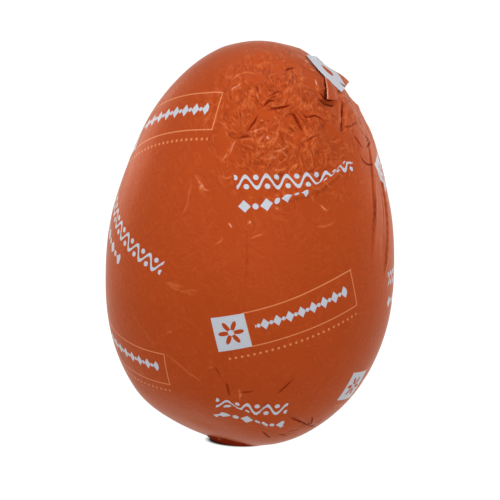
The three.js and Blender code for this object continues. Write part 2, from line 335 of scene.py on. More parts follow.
def radius_at(height):
    return EGG_WIDTH / 2 * egg_ring((np.asarray(height, float) - MIDDLE[2]) / HALF_HEIGHT) / WIDEST_RING


def round_point(radius, turn, height):
    height = np.broadcast_to(height, radius.shape)
    return np.stack([radius * np.sin(turn), -radius * np.cos(turn), height], -1)


def point_at(turn, height):
    return round_point(radius_at(height), turn, height)


CHANCE_STEP, CHANCE_SPREAD = 12.9898, 43758.5453  # so large that neighbours come out unrelated
HALVINGS = 40  # how often the stretch in which the surface lies is halved
SLOPE_STEP = 0.01  # how far above and below a place its slope is taken

# The first of the whole numbers that each uneven thing draws its chances from.
GATHER_PLACES, GATHER_LENGTHS, GATHER_DEPTHS = 0, 40, 80
BASE_PLACES, BASE_LENGTHS = 120, 160
RIDGES, CROSS_RIDGES, SWELLS = 300, 400, 500


def smoothstep(value, low, high):
    share = np.clip((value - low) / (high - low), 0, 1)
    return share * share * (3 - 2 * share)


def unit(vectors):
    return vectors / np.linalg.norm(vectors, axis=-1, keepdims=True)


def chance(number):
    """The same fraction for the same whole number, for what is uneven in the foil."""
    spread = sin(number * CHANCE_STEP) * CHANCE_SPREAD
    return spread - np.floor(spread)


def angle_between(a, b):
    return np.arctan2(np.sin(a - b), np.cos(a - b))


class Compass:
    """The ways out, down and round the egg at a place, and how far that is from the egg's middle."""

    def __init__(self, turn, height):
        towards = point_at(radians(turn), height) - MIDDLE
        self.reach = np.linalg.norm(towards)
        self.out = towards / self.reach
        self.round = np.array([cos(radians(turn)), sin(radians(turn)), 0.0])
        self.down = unit(np.cross(self.round, self.out))
        if self.down[2] > 0:
            self.down = -self.down

    def bearing(self, points):
        """How far points are from the place, the radius of the circle they lie on, and which way they lie."""
        towards = unit(points - MIDDLE)
        turned = np.arccos(np.clip(towards @ self.out, -1, 1))
        way = np.arctan2(towards @ self.round, towards @ self.down)
        return turned * self.reach, np.sin(turned) * self.reach, way


GATHER = Compass(GATHER_TURN, GATHER_HEIGHT)
FLAT_SPOT = Compass(FLAT_SPOT_TURN, FLAT_SPOT_HEIGHT)


def point_towards(directions):
    """The points of the smooth egg that lie in directions from its middle, by halving."""
    near = np.zeros(len(directions))
    far = np.full(len(directions), EGG_HEIGHT)
    for _ in range(HALVINGS):
        reach = (near + far) / 2
        points = MIDDLE + directions * reach[:, None]
        height = points[:, 2]
        within = np.clip(height, -BASE_CUT, EGG_HEIGHT)
        inside = (height == within) & (np.hypot(points[:, 0], points[:, 1]) < radius_at(within))
        near = np.where(inside, reach, near)
        far = np.where(inside, far, reach)
    return MIDDLE + directions * near[:, None]


def normal_at(turn, height):
    """The way out of the smooth egg at one place."""
    slope = (radius_at(height + SLOPE_STEP) - radius_at(height - SLOPE_STEP)) / (2 * SLOPE_STEP)
    return unit(np.array([sin(turn), -cos(turn), -slope]))


# -------------------- the foil's relief


def fold_section(across):
    """Across a fold, from -1 to 1: the foil climbs slowly, and drops where the fold has been pressed over."""
    climb = smoothstep(across, -1, FOLD_CREST)
    drop = 1 - smoothstep(across, FOLD_CREST, 1)
    return (np.abs(across) <= 1) * np.where(across < FOLD_CREST, climb, drop)


def gather_folds(turn, points):
    distance, circle, way = GATHER.bearing(points)
    height = np.zeros(len(points))
    for i in range(GATHER_FOLDS):
        fold = (i + 0.7 * chance(GATHER_PLACES + i)) / GATHER_FOLDS * 2 * pi
        longer = chance(GATHER_LENGTHS + i) ** 1.5
        length = GATHER_FOLD_SHORTEST + (GATHER_FOLD_LONGEST - GATHER_FOLD_SHORTEST) * longer
        across = circle * angle_between(way, fold) / (GATHER_FOLD_WIDTH / 2)
        along = smoothstep(distance, GATHER_FOLD_START, 2 * GATHER_FOLD_START)
        along *= 1 - smoothstep(distance, 0.5 * length, length)
        depth = GATHER_FOLD_DEPTH * (0.5 + 0.5 * chance(GATHER_DEPTHS + i))
        height += depth * along * fold_section(across)
    return smoothstep(-np.cos(turn), -0.6, 0.2) * height


def base_folds(turn, height):
    circle = radius_at(height)
    rise = np.zeros(len(height))
    for i in range(BASE_FOLDS):
        fold = (i + 0.6 * chance(BASE_PLACES + i)) / BASE_FOLDS * 2 * pi
        top = BASE_FOLD_SHORTEST + (BASE_FOLD_LONGEST - BASE_FOLD_SHORTEST) * chance(BASE_LENGTHS + i)
        across = circle * angle_between(turn, fold) / (BASE_FOLD_WIDTH / 2)
        rise += BASE_FOLD_DEPTH * (1 - smoothstep(height, 0.4 * top, top)) * fold_section(across)
    return smoothstep(-np.cos(turn), -0.3, 0.5) * rise


def waves(points, count, wavelengths, first):
    """Waves of uneven direction and length, between -1 and 1 and mostly near 0."""
    total = np.zeros(len(points))
    for i in range(count):
        number = first + 7 * i
        rise = 2 * chance(number) - 1
        turn = 2 * pi * chance(number + 1)
        flat = np.sqrt(1 - rise**2)
        along = points @ np.array([flat * cos(turn), flat * sin(turn), rise])
        length = wavelengths[0] + (wavelengths[1] - wavelengths[0]) * chance(number + 2)
        total += np.sin(2 * pi * along / length + 2 * pi * chance(number + 3))
    return total / np.sqrt(count)


def crumple_strength(points):
    strength = np.zeros(len(points))
    for turn, height, reach in CRUMPLED:
        distance, _, _ = Compass(turn, height).bearing(points)
        strength = np.maximum(strength, 1 - smoothstep(distance, 0.4 * reach, reach))
    return strength


def crumples(points):
    ridge = 1 - 2 * np.abs(waves(points, CRUMPLE_WAVES, CRUMPLE_WAVELENGTHS, RIDGES))
    cross_ridge = 1 - 2 * np.abs(waves(points, CRUMPLE_WAVES, CRUMPLE_WAVELENGTHS, CROSS_RIDGES))
    return CRUMPLE_DEPTH * crumple_strength(points) * (0.6 * ridge + 0.4 * cross_ridge)


def flat_spot(points):
    distance, _, _ = FLAT_SPOT.bearing(points)
    lifted = smoothstep(points[:, 2], 0, FLAT_SPOT_LIFT)
    return -FLAT_SPOT_DEPTH * lifted * (1 - smoothstep(distance, 0.15 * FLAT_SPOT_REACH, FLAT_SPOT_REACH))


def overlap(turn, height):
    edge = radians(OVERLAP_TURN) + radians(OVERLAP_WANDER) * np.sin(height / OVERLAP_WANDER_LENGTH)
    past = angle_between(turn, edge)
    climb = smoothstep(past, -radians(OVERLAP_RAMP), -radians(OVERLAP_EDGE))
    drop = 1 - smoothstep(past, -radians(OVERLAP_EDGE), radians(OVERLAP_EDGE))
    return OVERLAP_THICKNESS * climb * drop


def path_over_egg(places):
    """Points close together on a smooth line through a few places."""
    share = np.linspace(0, 1, len(places))
    steps = np.linspace(0, 1, PATH_STEPS)
    curves = [np.polyfit(share, values, len(places) - 1) for values in zip(*places)]
    turns, heights = (np.polyval(curve, steps) for curve in curves)
    return point_at(np.radians(turns), heights)


def near_path(points, path, margin):
    """Which points may lie within a margin of a path."""
    centre = path.mean(0)
    reach = np.linalg.norm(path - centre, axis=1).max() + margin
    return np.flatnonzero(np.linalg.norm(points - centre, axis=1) < reach)


BATCH = 4096  # how many points are measured at once, to save memory


def line_over_egg(points, path):
    """How far points lie along a path (as a share), beside it and past its ends, and which way beside is."""
    nearest = np.zeros(len(points), int)
    for start in range(0, len(points), BATCH):
        stretch = points[start : start + BATCH, None, :] - path[None, :, :]
        nearest[start : start + BATCH] = (stretch**2).sum(-1).argmin(1)
    tangents = unit(np.gradient(path, axis=0))
    sides = unit(np.cross(tangents, unit(path - MIDDLE)))
    offset = points - path[nearest]
    side = sides[nearest]
    beside = (offset * side).sum(-1)
    beyond = np.abs((offset * tangents[nearest]).sum(-1))
    return nearest / (len(path) - 1), beside, beyond, side


def between_ends(along, first=0.3, last=0.7):
    """1 over the middle of a path, and falling to 0 before and after these shares of it."""
    return smoothstep(along, 0, first) * (1 - smoothstep(along, last, 1))


PULL_EDGE, PULL_FULL, PULL_END = 0.4, 5.0, 22.0  # how far beside a tuck the print is pulled


def pressed_fold(points, fold):
    """How far one fold raises the foil at points, and how far it has pulled the print there."""
    path = path_over_egg(fold.places)
    rise = np.zeros(len(points))
    pull = np.zeros((len(points), 3))
    near = near_path(points, path, PULL_END + 2 if fold.hides else 2 * fold.width)
    along, beside, beyond, side = line_over_egg(points[near], path)
    fade = between_ends(along) * (1 - smoothstep(beyond, 0.4, 1.2))
    across = beside / (fold.width / 2)
    if fold.kind == "tuck":
        section = fold_section(across)
    else:
        section = np.clip(1 - across**2, 0, 1) ** 2
        if fold.kind == "crease":
            section = -section
    rise[near] = fold.rise * fade * section
    if fold.hides:
        taken_in = smoothstep(beside, -PULL_EDGE, PULL_EDGE) * (1 - smoothstep(beside, PULL_FULL, PULL_END))
        pull[near] = fold.hides * (taken_in * between_ends(along, 0.35, 0.9))[:, None] * side
    return rise, pull


def sharp_lines(points):
    """How far points lie beside the nearest sharp line, and how deep it is there."""
    nearest = np.full(len(points), LINE_REACH)
    beside = np.full(len(points), LINE_REACH)
    strength = np.zeros(len(points))
    for depth, *places in LINES:
        path = path_over_egg(places)
        near = near_path(points, path, LINE_REACH)
        along, across, beyond, _ = line_over_egg(points[near], path)
        away = np.hypot(across, beyond)
        closer = away < nearest[near]
        here = near[closer]
        fade = between_ends(along) * (1 - smoothstep(away, 0.6 * LINE_REACH, LINE_REACH))
        fade = fade * (1 - smoothstep(beyond, 0.1, 0.6))
        nearest[here] = away[closer]
        beside[here] = across[closer]
        strength[here] = depth * fade[closer]
    return beside, strength


def facets(points, strength, size, slope):
    """Small flat faces that each tilt their own way and meet in creases, as in foil smoothed again."""
    noise.seed_set(FACET_SEED)
    heights = np.zeros(len(points))
    for i in np.flatnonzero(strength > 0.01):
        place = Vector(points[i])
        place += FACET_WARP * size * noise.noise_vector(place / (FACET_WARP_LENGTH * size))
        distances, centres = noise.voronoi(place / size)
        total = weights = 0.0
        for distance, centre in zip(distances, centres):
            weight = 2.0 ** (-FACET_EDGE * (distance - distances[0]))
            total += weight * (place / size - centre).dot(noise.noise_vector(centre * FACET_TILT_SPREAD))
            weights += weight
        heights[i] = strength[i] * slope * size * total / weights
    return heights


def foil_relief(points):
    """How far the foil stands out from the smooth egg, and how its folds have pulled the print about."""
    turn = np.arctan2(points[:, 0], -points[:, 1])
    height = points[:, 2]
    clear = smoothstep(height, 0, BASE_CLEARANCE) * smoothstep(EGG_HEIGHT - height, *TIP_CLEARANCE)
    crumpled = crumple_strength(points)
    rise = SWELL_DEPTH * waves(points, SWELL_WAVES, SWELL_WAVELENGTHS, SWELLS)
    rise += crumples(points) + gather_folds(turn, points) + base_folds(turn, height) + overlap(turn, height)
    for size, slope in zip(FACET_SIZES, FACET_SLOPES):
        rise += facets(points, crumpled, size, slope)
    pull = np.zeros_like(points)
    for fold in FOLDS:
        fold_rise, fold_pull = pressed_fold(points, fold)
        rise += fold_rise
        pull += fold_pull
    return clear * rise + flat_spot(points), pull, crumpled


# -------------------- mesh tools


def deselect_all():
    if bpy.context.object and bpy.context.object.mode != "OBJECT":
        bpy.ops.object.mode_set(mode="OBJECT")
    bpy.ops.object.select_all(action="DESELECT")


def get_points(mesh):
    values = np.empty(len(mesh.vertices) * 3)
    mesh.vertices.foreach_get("co", values)
    return values.reshape(-1, 3) / MM


def set_points(mesh, points):
    mesh.vertices.foreach_set("co", (points * MM).ravel())
    mesh.update()


def select_points(mesh, chosen):
    """Select the chosen points, the edges and faces between them, and nothing else."""
    mesh.vertices.foreach_set("select", chosen)
    for parts in (mesh.edges, mesh.polygons):
        parts.foreach_set("select", [bool(chosen[list(part.vertices)].all()) for part in parts])


def add_attribute(mesh, name, values):
    mesh.attributes.new(name, "FLOAT", "POINT").data.foreach_set("value", values.astype(np.float32))


def hollowness(mesh):
    """How hollow (above 0) or ridged (below 0) a mesh is at each point, from how its neighbours lie."""
    points = get_points(mesh)
    edges = np.empty(len(mesh.edges) * 2, int)
    mesh.edges.foreach_get("vertices", edges)
    a, b = edges.reshape(-1, 2).T
    normals = np.empty(len(points) * 3)
    mesh.vertices.foreach_get("normal", normals)
    normals = normals.reshape(-1, 3)
    total = np.zeros(len(points))
    weight = np.zeros(len(points))
    length = np.linalg.norm(points[b] - points[a], axis=1)
    for here, there in ((a, b), (b, a)):
        rise = ((points[there] - points[here]) * normals[here]).sum(1) / length**2
        np.add.at(total, here, rise)
        np.add.at(weight, here, 1)
    return total / np.maximum(weight, 1)


def print_place(points, item):
    """Where points lie on a motif's own flat sheet: along its line and across it."""
    turn = radians(item.turn)
    out = normal_at(turn, item.height)
    right = np.array([cos(turn), sin(turn), 0.0])
    up = np.cross(right, -out)
    up = up if up[2] > 0 else -up
    tilt = radians(item.tilt)
    along = cos(tilt) * right + sin(tilt) * up
    above = cos(tilt) * up - sin(tilt) * right
    from_centre = points - (point_at(turn, item.height) - PRINT_RADIUS * out)
    u = PRINT_RADIUS * np.arctan2(from_centre @ along, from_centre @ out)
    v = PRINT_RADIUS * np.arcsin(np.clip(unit(from_centre) @ above, -1, 1))
    return u, (v - item.bow * u**2) / item.tall


def lay_print(mesh, sheet_points):
    """Give each face the part of the print that falls on it, as a UV map in millimetres."""
    corners = np.empty(len(mesh.loops), int)
    mesh.loops.foreach_get("vertex_index", corners)
    counts = np.empty(len(mesh.polygons), int)
    mesh.polygons.foreach_get("loop_total", counts)
    face_of_corner = np.repeat(np.arange(len(counts)), counts)
    centres = np.zeros((len(counts), 3))
    np.add.at(centres, face_of_corner, sheet_points[corners])
    centres /= counts[:, None]

    nearest = np.full(len(counts), -1)
    closeness = np.ones(len(counts))
    for i, item in enumerate(ITEMS):
        u, v = print_place(centres, item)
        reach_along, reach_across = ITEM_REACH[item.motif]
        far = np.maximum(np.abs(u) / reach_along, np.abs(v) / reach_across)
        closer = (far < closeness) & (u < item.end)
        nearest[closer] = i
        closeness[closer] = far[closer]

    uv = np.tile(np.array(PLAIN), (len(corners), 1))
    item_of_corner = nearest[face_of_corner]
    for i, item in enumerate(ITEMS):
        mine = np.flatnonzero(item_of_corner == i)
        u, v = print_place(sheet_points[corners[mine]], item)
        uv[mine] = np.stack([u + (MOTIF_STEP if item.motif == "garland" else 0), v], -1)
    mesh.uv_layers.new(name="print").uv.foreach_set("vector", uv.astype(np.float32).ravel())


def dress(piece, material):
    """Finish a piece: its material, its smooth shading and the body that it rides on."""
    piece.data.materials.clear()
    piece.data.materials.append(material)
    deselect_all()
    piece.select_set(True)
    bpy.context.view_layer.objects.active = piece
    bpy.ops.object.shade_smooth()
    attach(piece, "root")


# -------------------- materials


class Socket:
    """A socket of a node tree that can stand in a sum."""

    def __init__(self, tree, output):
        self.tree = tree
        self.output = output

    def math(self, operation, *others, clamp=False):
        return self.tree.node("Math", [self, *others], operation=operation, use_clamp=clamp)

    def __add__(self, other):
        return self.math("ADD", other)

    def __sub__(self, other):
        return self.math("SUBTRACT", other)

    def __rsub__(self, other):
        return self.tree.node("Math", [other, self], operation="SUBTRACT")

    def __mul__(self, other):
        return self.math("MULTIPLY", other)

    def __truediv__(self, other):
        return self.math("DIVIDE", other)

    def __pow__(self, other):
        return self.math("POWER", other)

    def __abs__(self):
        return self.math("ABSOLUTE")

    __radd__ = __add__
    __rmul__ = __mul__

    def over(self, other):
        return self.math("MAXIMUM", other)

    def sine(self):
        return self.math("SINE")

    def repeat(self, period):
        """The distance from the nearest of a row of places this far apart."""
        return self.math("WRAP", period / 2, -period / 2)

    def held(self):
        """Kept between 0 and 1."""
        return self.math("ADD", 0.0, clamp=True)


# Where the strokes of the crumpled foil run each way, as a share of a noise, and the direction across them.
STROKE_WAYS = (
    (0.41, (0.25, -0.4, 0.88)),
    (0.47, (0.95, 0.2, 0.24)),
    (0.53, (0.7, 0.3, -0.65)),
    (0.59, (0.6, -0.35, 0.72)),
)
STROKE_SHARE = 0.05  # how much of the noise each way takes up, to either side
STROKE_SQUEEZE = 3.0  # how much narrower than long they are


class Tree:
    """The node tree of a material or of the world, in which each node comes from one method."""

    def __init__(self, owner):
        owner.use_nodes = True
        self.nodes = owner.node_tree.nodes
        self.links = owner.node_tree.links
        self.nodes.clear()

    def node(self, kind, values=(), output=0, **settings):
        """Add a node, set it, feed its sockets by order or by name, and give back one of its outputs."""
        made = self.nodes.new("ShaderNode" + kind)
        for name, value in settings.items():
            setattr(made, name, value)
        named = values.items() if isinstance(values, dict) else enumerate(values)
        for key, value in named:
            if isinstance(value, Socket):
                self.links.new(value.output, made.inputs[key])
            else:
                made.inputs[key].default_value = value
        return Socket(self, made.outputs[output]) if made.outputs else None

    def mix_colour(self, share, first, second):
        return self.node("Mix", {0: share, 6: first, 7: second}, output=2, data_type="RGBA")

    def noise(self, place, wavelength, detail=2.0, roughness=0.5, distortion=0.0):
        """Noise with features of about this many millimetres, between 0 and 1."""
        values = {
            "Vector": place,
            "Scale": 1 / (wavelength * MM),
            "Detail": detail,
            "Roughness": roughness,
            "Distortion": distortion,
        }
        return self.node("TexNoise", values, output="Fac")

    def strokes(self, place, patch, length):
        """Short ridges and hollows, a quarter as wide as they are long, that turn from patch to patch."""
        patches = self.noise(place, patch, detail=1)
        total = 0.0
        for middle, way in STROKE_WAYS:
            across = self.node("VectorMath", [place, way], output="Value", operation="DOT_PRODUCT")
            shift = self.node("VectorMath", {0: way, "Scale": across * STROKE_SQUEEZE}, operation="SCALE")
            squeezed = self.node("VectorMath", [place, shift], operation="ADD")
            share = (1 - abs(patches - middle) / STROKE_SHARE).held()
            total = total + share * (self.noise(squeezed, length, detail=1, distortion=0.8) - 0.5)
        return total

    def attribute(self, name):
        return self.node("Attribute", output="Fac", attribute_name=name)


PRINT_SOFTNESS = 0.08

# The ribbon: a tile, a frame, the beads and small dots in it, and a row of dots below.
TILE_CENTRE, TILE_HALF = (-12.2, 0.0), (3.4, 3.55)
PETAL_REACH, PETALS, EYE_RADIUS = 2.6, 6, 0.62
FRAME_CENTRE, FRAME_HALF, FRAME_LINE = (3.4, 0.0), (12.2, 3.55), 0.11
CHAIN_CENTRE, CHAIN_HALF = (3.2, 0.4), (10.4, 1.7)
BEAD_STEP, BEAD_REACH, BEAD_NARROWING, BEAD_DOT_RADIUS = 2.6, 1.15, 1.25, 0.4
ROW_CENTRE, ROW_HALF, ROW_STEP, ROW_DOT_RADIUS = (0.2, -5.3), (14.9, 0.6), 1.25, 0.26

# The garland: a waving line with dots in its bends, and a row of lozenges and dots below.
WAVE_LEVEL, WAVE_RISE, WAVE_LENGTH, WAVE_LINE, WAVE_END = 2.4, 1.2, 4.2, 0.42, 13.5
BEND_DOT_DROP, BEND_DOT_RADIUS, BEND_DOT_END = 0.95, 0.55, 13.8
LOZENGE_STEP, LOZENGE_REACH, LOZENGE_START, BETWEEN_RADIUS = 4.4, 1.25, 12.4, 0.6
LOZENGES_CENTRE, LOZENGES_HALF = (-6.2, -2.6), (7.6, 1.6)

# The loose corner: a light sheet up to a slanting line, with one petal left in it.
CORNER_SHEET_CENTRE, CORNER_SHEET_HALF = (5.5, 2.9), (8.0, 6.0)
SLANT_PLACE, SLANT_WAY = (6.3, 5.8), (0.586, 0.81)
PETAL_CENTRE, PETAL_WAY = (5.45, 2.9), (0.96, 0.28)
PETAL_NARROWING, PETAL_RADIUS = 0.36, 0.75


def ink(distance):
    """1 inside a shape and 0 outside it, from the distance to its edge."""
    return (0.5 - distance / PRINT_SOFTNESS).held()


def box_distance(u, v, centre, half):
    return (abs(u - centre[0]) - half[0]).over(abs(v - centre[1]) - half[1])


def disc_distance(u, v, radius):
    return (u * u + v * v) ** 0.5 - radius


def daisy_distance(u, v):
    """The distance to the edge of the daisy's petals."""
    angle = v.math("ARCTAN2", u)
    petal = abs((angle * (PETALS / 2)).math("COSINE")) ** 1.6
    return (u * u + v * v) ** 0.5 - PETAL_REACH * (0.25 + 0.75 * petal)


def ribbon_print(u, v):
    """A light tile with a daisy, then a framed strip with a chain of beads, and a row of dots under both."""
    tile = ink(box_distance(u, v, TILE_CENTRE, TILE_HALF))
    daisy_u = u - TILE_CENTRE[0]
    daisy = ink(daisy_distance(daisy_u, v))
    eye = ink(disc_distance(daisy_u, v, EYE_RADIUS))
    light = tile * (1 - daisy * (1 - eye))

    chain_v = CHAIN_CENTRE[1]
    inside = ink(box_distance(u, v, CHAIN_CENTRE, CHAIN_HALF))
    bead = ink(abs(u.repeat(BEAD_STEP)) * BEAD_NARROWING + abs(v - chain_v) - BEAD_REACH)
    dot = ink(disc_distance((u + BEAD_STEP / 2).repeat(BEAD_STEP), v - chain_v, BEAD_DOT_RADIUS))
    chain = inside * bead.over(dot)

    frame_line = ink(abs(box_distance(u, v, FRAME_CENTRE, FRAME_HALF)) - FRAME_LINE)
    row = ink(box_distance(u, v, ROW_CENTRE, ROW_HALF))
    dots = row * ink(disc_distance(u.repeat(ROW_STEP), v - ROW_CENTRE[1], ROW_DOT_RADIUS))
    return light.over(chain), frame_line.over(dots)


def garland_print(u, v):
    """A waving line with dots in its bends, over a shorter row of lozenges and dots."""
    wave = v - WAVE_LEVEL - WAVE_RISE * (u * (2 * pi / WAVE_LENGTH)).sine()
    line = ink(abs(wave) - WAVE_LINE) * ink(abs(u) - WAVE_END)
    bends = []
    for way in (1, -1):
        bend_u = (u - way * WAVE_LENGTH / 4).repeat(WAVE_LENGTH)
        bend_v = v - (WAVE_LEVEL - way * BEND_DOT_DROP)
        bends.append(ink(disc_distance(bend_u, bend_v, BEND_DOT_RADIUS)))
    bend_dots = bends[0].over(bends[1]) * ink(abs(u) - BEND_DOT_END)

    level = LOZENGES_CENTRE[1]
    lozenge = ink(abs((u + LOZENGE_START).repeat(LOZENGE_STEP)) + abs(v - level) - LOZENGE_REACH)
    between_u = (u + (LOZENGE_START - LOZENGE_STEP / 2)).repeat(LOZENGE_STEP)
    between = ink(disc_distance(between_u, v - level, BETWEEN_RADIUS))
    row = ink(box_distance(u, v, LOZENGES_CENTRE, LOZENGES_HALF))
    return line.over(bend_dots).over(row * lozenge.over(between))


def corner_print(u, v):
    """Light foil with one petal, up to a slanting line."""
    sheet = ink(box_distance(u, v, CORNER_SHEET_CENTRE, CORNER_SHEET_HALF))
    past = (u - SLANT_PLACE[0]) * SLANT_WAY[0] + (v - SLANT_PLACE[1]) * SLANT_WAY[1]
    from_u, from_v = u - PETAL_CENTRE[0], v - PETAL_CENTRE[1]
    petal_u = from_u * PETAL_WAY[0] - from_v * PETAL_WAY[1]
    petal_v = from_u * PETAL_WAY[1] + from_v * PETAL_WAY[0]
    petal = disc_distance(petal_u * PETAL_NARROWING, petal_v, PETAL_RADIUS)
    return sheet * ink(past) * (1 - ink(petal))


# The finest unevenness of the foil: the lengths of its noises, and how strong its strokes are.
BLOTCH_LENGTH, GRAIN_LENGTH, WANDER_LENGTH, DULL_LENGTH = 22, 0.7, 1.8, 5
STROKE_PATCH, STROKE_LENGTH = 6, 2.1
STROKE_EVERYWHERE, STROKE_IN_CRUMPLES = 0.22, 1.05
LINE_HALF_WIDTH, LINE_WANDER = 0.26, 0.7
LINE_SHARE, LINE_BREAKS = 0.85, 1.4  # how much of a line shows, and how far that varies along it
GRAIN_RELIEF, STROKE_RELIEF, LINE_RELIEF = 0.5, 2.0, 0.2
HOLLOW_FROM, RIDGE_FROM = 0.02, 0.06  # how hollow or ridged the foil is where its painted shade, or its wear and painted highlight, starts to show
BARE_FROM, BARE_TO = 200, 400  # the part of the sheet of print that is bare foil, to its left

# How strongly the painted shade of folds, the wear and painted highlight of ridges, rubbed lines, printed
# lines and the painted shade of creases show.
PAINTED_FOLD_SHADE_SHARE, WEAR_AND_HIGHLIGHT_SHARE, RUB_COLOUR, PRINT_LINE_COLOUR, PAINTED_CREASE_SHADE_SHARE = 0.9, 0.6, 0.7, 0.42, 0.92
STROKE_SHADE_AND_HIGHLIGHT = 2.5  # how strongly the strokes are painted as shade on their dark side and as highlight on their light side
RUB_DEPTH = 0.5  # how deep a worn line is where it starts to be rubbed bare
# How strongly creases are painted dark, and how much of their gloss a dark diffuse painted shade replaces.
CREASE_SHADE_STRENGTH, CREASE_SHADE_DULLNESS = 1.3, 0.85
DULL_SPREAD = 0.12  # how far the roughness varies


def foil_material(settings):
    """Aluminium foil under an orange lacquer, which leaves the light print bare, with painted shade in its
    folds and creases and painted highlight on its ridges.
    """
    material = bpy.data.materials.new("lacquered_foil")
    tree = Tree(material)
    place = tree.node("TexCoord", output="Object")
    sheet = tree.node("UVMap", uv_map="print")
    u = tree.node("SeparateXYZ", [sheet], output="X")
    v = tree.node("SeparateXYZ", [sheet], output="Y")
    crumple = tree.attribute("crumple")
    hollow = tree.attribute("hollow")

    ribbon_light, ribbon_line = ribbon_print(u, v)
    garland_light = garland_print(u - MOTIF_STEP, v)
    bare_sheet = (u * -1).math("GREATER_THAN", BARE_FROM) * u.math("GREATER_THAN", -BARE_TO)
    light = ribbon_light.over(garland_light).over(bare_sheet).over(corner_print(u - CORNER_STEP, v))

    blotch = tree.noise(place, BLOTCH_LENGTH, detail=3)
    lacquer = tree.mix_colour(blotch, (*settings.lacquer_deep, 1), (*settings.lacquer, 1))
    grain = tree.noise(place, GRAIN_LENGTH, detail=3)
    strokes = tree.strokes(place, STROKE_PATCH, STROKE_LENGTH)
    strokes = strokes * (STROKE_EVERYWHERE + STROKE_IN_CRUMPLES * crumple)
    wander = tree.noise(place, WANDER_LENGTH, detail=2) - 0.5
    line_beside = abs(tree.attribute("beside_line") + wander * LINE_WANDER)
    line_section = (1 - line_beside / LINE_HALF_WIDTH).held() ** 0.5
    line = tree.attribute("line_depth") * line_section * (LINE_SHARE + wander * LINE_BREAKS).held()

    # Painted shade: the hollows of the foil and the dark side of its strokes take the dark fold colour.
    fold_shade_mask = (hollow - HOLLOW_FROM).over(0.0) * settings.crease_shade
    fold_shade_mask = (fold_shade_mask + (strokes * -STROKE_SHADE_AND_HIGHLIGHT).over(0.0)).held()
    lacquer = tree.mix_colour(fold_shade_mask * PAINTED_FOLD_SHADE_SHARE, lacquer, (*settings.painted_fold_shade, 1))
    # Worn lacquer and painted highlight: ridges, worn lines and the light side of the strokes are lightened.
    ridge = (0 - hollow - RIDGE_FROM).over(0.0) * settings.ridge_wear_and_highlight + (line * -1).over(0.0)
    ridge = (ridge + (strokes * STROKE_SHADE_AND_HIGHLIGHT).over(0.0)).held()
    lacquer = tree.mix_colour(ridge * WEAR_AND_HIGHLIGHT_SHARE, lacquer, (*settings.worn_lacquer_and_highlight, 1))
    rubbed = (line * -1 - RUB_DEPTH).held()
    lacquer = tree.mix_colour(rubbed * RUB_COLOUR, lacquer, (*settings.print_light, 1))
    lined = tree.mix_colour(ribbon_line * PRINT_LINE_COLOUR, lacquer, (*settings.print_line, 1))
    printed = tree.mix_colour(light, lined, (*settings.print_light, 1))
    # Painted shade in sharp creases: a dark colour, and a dark diffuse shader mixed in for part of the gloss.
    crease = (line * CREASE_SHADE_STRENGTH).held()
    colour = tree.mix_colour(crease * PAINTED_CREASE_SHADE_SHARE, printed, (*settings.painted_crease_shade, 1))

    micro = grain * GRAIN_RELIEF + strokes * STROKE_RELIEF - line * LINE_RELIEF
    bump = tree.node("Bump", {"Strength": 1.0, "Distance": settings.micro_relief * MM, "Height": micro})

    roughness = settings.roughness + DULL_SPREAD * (tree.noise(place, DULL_LENGTH, detail=3) - 0.5)
    shader = tree.node(
        "BsdfPrincipled",
        {
            "Base Color": colour,
            "Metallic": settings.metallic,
            "Roughness": roughness,
            "Normal": bump,
            "Specular IOR Level": 0.15,
            "Specular Tint": (*settings.edge_tint, 1),
            "Coat Weight": 0.2,
            "Coat IOR": 1.2,
            "Coat Roughness": 0.15,
        },
    )
    # The dark diffuse shader of the painted crease shade.
    inside = tree.node("BsdfDiffuse", {"Color": (*settings.painted_crease_shade, 1)})
    shader = tree.node("MixShader", [crease * CREASE_SHADE_DULLNESS, shader, inside])
    tree.node("OutputMaterial", {"Surface": shader})
    return material


# -------------------- the settings


def colour(name, description, default):
    return FloatVectorProperty(
        name=name, description=description, default=default, subtype="COLOR", min=0, max=1
    )


class FoilEggSettings(bpy.types.PropertyGroup):
    """What a user would change about the foil."""

    rows: IntProperty(name="Rows", description="Faces from the flat to the tip", default=250, min=20)
    columns: IntProperty(name="Columns", description="Faces round the egg", default=380, min=24)
    lacquer: colour("Lacquer", "The orange lacquer", (0.35, 0.049, 0.0075))
    lacquer_deep: colour("Deep lacquer", "The lacquer where it lies thicker", (0.31, 0.043, 0.0065))
    # Painted shade for hollows, folds and the dark side of the strokes.
    painted_fold_shade: colour("Fold", "The lacquer inside a fold", (0.15, 0.016, 0.003))
    # Painted shade for creases, the gaps under the corners and the folds round the flat.
    painted_crease_shade: colour("Crease", "The foil in a sharp crease, which no gloss reaches", (0.13, 0.008, 0.001))
    # Worn lacquer, also used as painted highlight on ridges and worn marks.
    worn_lacquer_and_highlight: colour("Worn lacquer", "The lacquer where a ridge has rubbed it thin", (0.66, 0.19, 0.06))
    print_light: colour("Light print", "The light print", (0.41, 0.43, 0.475))
    print_line: colour("Print line", "The thin lines of the print", (0.80, 0.36, 0.17))
    edge_tint: colour("Edge tint", "What the lacquer leaves of the gloss at a slant", (0.85, 0.74, 0.6))
    metallic: FloatProperty(name="Metallic", description="How metallic it is", default=0.85, min=0, max=1)
    roughness: FloatProperty(name="Roughness", description="How dull the foil is", default=0.52, min=0, max=1)
    micro_relief: FloatProperty(
        name="Micro relief", description="Depth of the finest wrinkles, in mm", default=0.2, min=0, max=1
    )
    crease_shade: FloatProperty(name="Crease shade", description="How dark folds are", default=1.6, min=0)
    # How strongly ridges are lightened, as wear and as painted highlight.
    ridge_wear_and_highlight: FloatProperty(name="Ridge wear", description="How worn ridges are", default=0.8, min=0)


